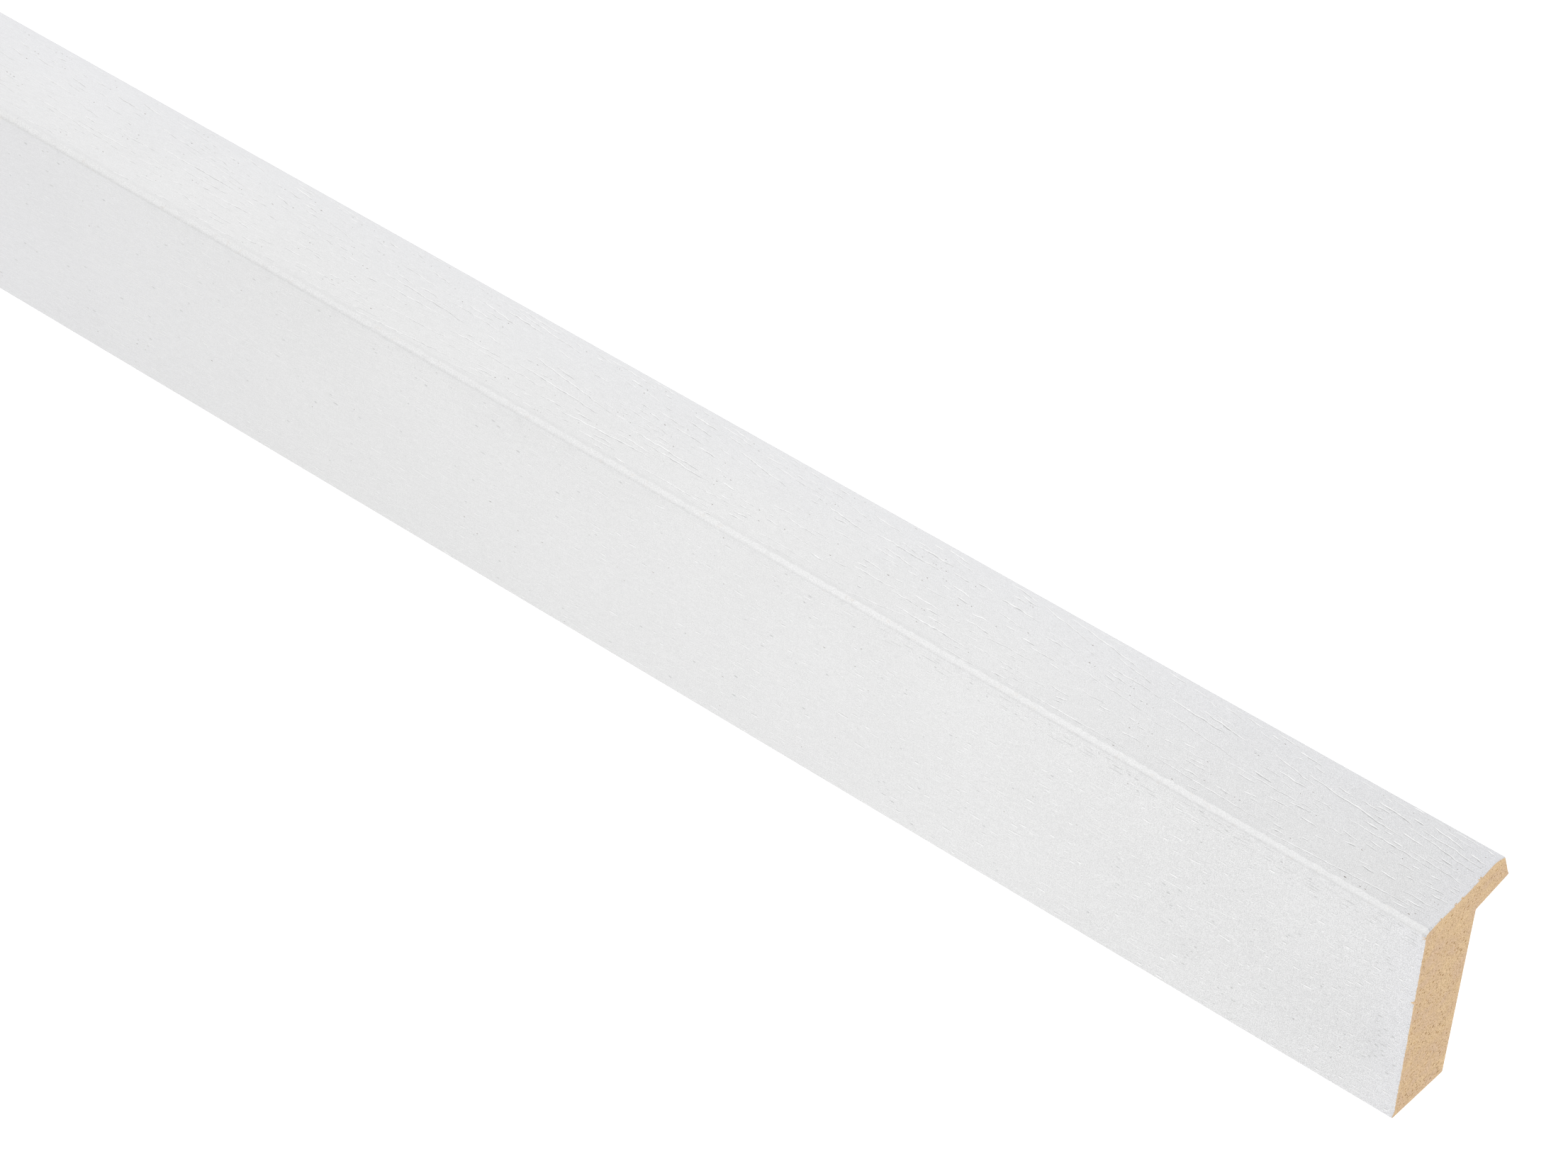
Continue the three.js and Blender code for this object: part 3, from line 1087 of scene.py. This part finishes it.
# Shares of the tone at mm from the outer side: painted shade on the face beside the bevel, a painted cool
# reflection towards the sight edge, and painted shade at the bevel's foot. The first has a strength for
# each place along the length.
BORDER_SHADE = ((0.3, 1.0), (1.0, 0.98), (1.45, 0.964), (1.75, 0.985), (2.0, 1.0))
COOL_REFLECTION = ((6.0, 1.0), (16.0, (0.994, 0.996, 1.008)))
EDGE_SHADE = ((0.03, 1.0), (0.12, 0.97), (0.2, 0.945), (0.32, 0.96), (0.45, 1.0))
BORDER_STRENGTH = ((0.72, 1.0), (0.86, 0.3))


def across_face(tree, shares):
    """Shares of the tone at distances in mm from the outer side."""
    split = tree.nodes.new("ShaderNodeSeparateXYZ")
    vector = coordinates(tree, (1.0, 1.0 / (WIDTH * MM), 1.0), (0.0, low.y, 0.0))
    tree.links.new(vector, split.inputs["Vector"])
    return ramp(tree, split.outputs["Y"], *[(offset / WIDTH, share) for offset, share in shares])


def tone_with_painted_falloff(tree, tones):
    """The paint's white along the length, with painted light falloff in it."""
    stops = [(place, (tone, tone, tone + blue)) for place, tone, blue in tones]
    return ramp(tree, along_length(tree), *stops)


def paint_material(name, tones, grain_stretch, grain_strength, marks=()):
    """Matt white paint, a little uneven, with fine streaks of the grain showing through, and painted light
    and shade in its tone.
    """
    material, tree, shader = new_material(name, (0.73, 0.73, 0.73), 0.62)
    even = coordinates(tree, turn=SKEW)
    patchy = add_noise(tree, even, size=18.0, detail=2.0)
    patches = ramp(tree, patchy, (0.35, 0.99), (0.65, 1.005))
    streaked = coordinates(tree, (0.1, 1.0, 1.0), turn=SKEW)
    streaky = add_noise(tree, streaked, size=0.16, detail=1.0, rough=0.6)
    streaks = ramp(tree, streaky, (0.3, 0.972), (0.7, 1.018))
    spots = [add_smudge(tree, *mark) for mark in marks]
    bordering = ramp(tree, along_length(tree), *BORDER_STRENGTH)
    tone = multiply(tree, tone_with_painted_falloff(tree, tones), across_face(tree, BORDER_SHADE), strength=bordering)
    tone = multiply(tree, tone, across_face(tree, COOL_REFLECTION), patches, streaks, *spots)
    grained = coordinates(tree, grain_stretch, turn=SKEW)
    speckled = add_noise(tree, grained, size=0.075, detail=0.0, rough=0.5)
    grain = ramp(tree, speckled, (0.3, 0.77), (0.7, 1.21))
    strength = ramp(tree, along_length(tree), *grain_strength)
    tree.links.new(multiply(tree, tone, grain, strength=strength), shader.inputs["Base Color"])
    add_bump(tree, shader, add_noise(tree, even, size=0.25, rough=0.6), strength=0.2, distance=0.06)
    return material


def edge_light_shade_material(name, tones):
    """The smoother coat along the outer edge, its tone a painted highlight on the bevel and painted light
    and shade on the edge below, with the wood tinting it here and there.
    """
    material, tree, shader = new_material(name, (0.75, 0.75, 0.75), 0.5)
    even = coordinates(tree, turn=SKEW)
    blotchy = add_noise(tree, even, size=1.6, rough=0.6)
    tint = ramp(tree, blotchy, (0.6, 1.0), (0.75, (0.965, 0.94, 0.915)))
    speckled = add_noise(tree, even, size=0.16, detail=1.0, rough=0.6)
    grain = ramp(tree, speckled, (0.3, 0.9), (0.7, 1.09))
    tone = multiply(tree, tone_with_painted_falloff(tree, tones), across_face(tree, EDGE_SHADE), tint, grain)
    tree.links.new(tone, shader.inputs["Base Color"])
    return material


def pore_material(name, tones, patchy, roughness):
    """Walls of the open pores: tones along the length, patchily darker by the given share; the lit and
    shaded walls get painted light and painted shade.
    """
    material, tree, shader = new_material(name, (0.7, 0.7, 0.7), roughness)
    tone = ramp(tree, along_length(tree), *tones)
    patches = ramp(tree, add_noise(tree, coordinates(tree), size=1.2), (0.42, 1.0), (0.6, patchy))
    tree.links.new(multiply(tree, tone, patches), shader.inputs["Base Color"])
    return material


WOOD_HUES = ((0.36, (0.69, 0.487, 0.275)), (0.5, (0.655, 0.455, 0.263)), (0.64, (0.645, 0.45, 0.283)))
BROAD_SHARE = 14.0  # size of the broad hues for the size of the speckles
END_SPECKLES = ((0.3, (0.46, 0.39, 0.29)), (0.5, 1.0), (0.7, (1.28, 1.35, 1.46)))
LONG_SPECKLES = ((0.3, (0.76, 0.71, 0.64)), (0.5, 1.0), (0.7, (1.1, 1.13, 1.17)))


def wood_material(name, stretch, size, speckles):
    """Bare light hardwood, with fine speckles along the grain."""
    material, tree, shader = new_material(name, (0.8, 0.59, 0.38), 0.75)
    grain = coordinates(tree, stretch, turn=SKEW)
    broad = ramp(tree, add_noise(tree, grain, size * BROAD_SHARE, detail=2.0), *WOOD_HUES)
    fine = ramp(tree, add_noise(tree, grain, size, detail=4.0, rough=0.75), *speckles)
    tree.links.new(multiply(tree, broad, fine), shader.inputs["Base Color"])
    rough = add_noise(tree, coordinates(tree, turn=SKEW), size=0.22, rough=0.7)
    add_bump(tree, shader, rough, strength=0.5, distance=0.12)
    return material


materials = {
    FACE_PAINT: paint_material("face_paint", FACE_TONE_AND_PAINTED_FALLOFF, (1.0, 1.0, 1.0), FACE_GRAIN),
    SIDE_PAINT: paint_material("side_paint", SIDE_TONE_AND_PAINTED_FALLOFF, (0.8, 1.0, 1.0), SIDE_GRAIN, SIDE_MARKS),
    BAND_HIGHLIGHT: edge_light_shade_material("band_paint_highlight", BAND_HIGHLIGHT_TONES),
    EDGE_LIGHT_AND_SHADE: edge_light_shade_material("edge_paint_light_shade", EDGE_LIGHT_SHADE_TONES),
    FACE_PAINTED_LIT: pore_material("face_pore_painted_lit", FACE_PAINTED_LIT_TONES, 0.9, 0.5),
    FACE_PAINTED_SHADE: pore_material("face_pore_painted_shade", FACE_PAINTED_SHADE_TONES, 0.74, 0.8),
    SIDE_PAINTED_LIT: pore_material("side_pore_painted_lit", SIDE_PAINTED_LIT_TONES, 0.94, 0.5),
    SIDE_PAINTED_SHADE: pore_material("side_pore_painted_shade", SIDE_PAINTED_SHADE_TONES, 0.9, 0.8),
    PIN_HOLE: pore_material("pin_hole", HOLE_SHADES, 0.8, 0.9),
    BARE_WOOD: wood_material("bare_wood", (0.06, 1.0, 1.0), 0.5, LONG_SPECKLES),
    END_GRAIN: wood_material("end_grain", (1.0, 0.7, 1.0), 0.16, END_SPECKLES),
    END_PORE: pore_material("end_pore", ((0.0, END_BROWN), (1.0, END_BROWN)), 0.68, 0.9),
}
mesh = make_mesh()
for slot in sorted(materials):
    mesh.materials.append(materials[slot])
moulding = bpy.data.objects.new("painted_moulding", mesh)
bpy.context.scene.collection.objects.link(moulding)
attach(moulding, "root")
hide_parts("moulding")


# Floor and light

WHITE = (1.0, 1.0, 1.0, 1.0)
FLOOR_SIZE = 8.0
FLOOR_GREY = (0.12, 0.12, 0.12)
FLOOR_GLOW = 1.135
WORLD_LIGHT = 0.628
LIGHT_AIM = Vector((0.0, 0.0, 0.02))

# Soft lights: name, azimuth and elevation in degrees, distance and size in metres, power in watts
LIGHTS = (
    ("key_light", 33.4, 20.4, 0.58, 0.2, 0.691),
    ("far_light", -101.6, 53.8, 0.6, 0.25, 1.11),
    ("back_light", 146.6, 43.7, 0.44, 0.2, 0.535),
)


def add_floor():
    """A plain white floor that glows a little, so that it fades into the background."""
    half = FLOOR_SIZE / 2
    floor_mesh = bpy.data.meshes.new("studio_floor")
    corners = [(-half, -half, 0.0), (half, -half, 0.0), (half, half, 0.0), (-half, half, 0.0)]
    floor_mesh.from_pydata(corners, [], [(0, 1, 2, 3)])
    material, _, shader = new_material("studio_floor", FLOOR_GREY, 0.9)
    shader.inputs["Specular IOR Level"].default_value = 0.0
    shader.inputs["Emission Color"].default_value = WHITE
    shader.inputs["Emission Strength"].default_value = FLOOR_GLOW
    floor_mesh.materials.append(material)
    floor = bpy.data.objects.new("studio_floor", floor_mesh)
    bpy.context.scene.collection.objects.link(floor)


def add_area_light(name, azimuth, elevation, distance, size, power):
    """A square soft light that faces the middle of the moulding."""
    light = bpy.data.lights.new(name, "AREA")
    light.size = size
    light.energy = power
    lamp = bpy.data.objects.new(name, light)
    towards = direction(azimuth, elevation)
    lamp.location = LIGHT_AIM + distance * towards
    lamp.rotation_euler = towards.to_track_quat("Z", "Y").to_euler()
    bpy.context.scene.collection.objects.link(lamp)


def add_world():
    """Even white light from all round."""
    world = bpy.data.worlds.new("studio")
    world.use_nodes = True
    background = world.node_tree.nodes["Background"]
    background.inputs["Color"].default_value = WHITE
    background.inputs["Strength"].default_value = WORLD_LIGHT
    bpy.context.scene.world = world


add_floor()
for light in LIGHTS:
    add_area_light(*light)
add_world()
bpy.context.scene.view_settings.view_transform = "Standard"
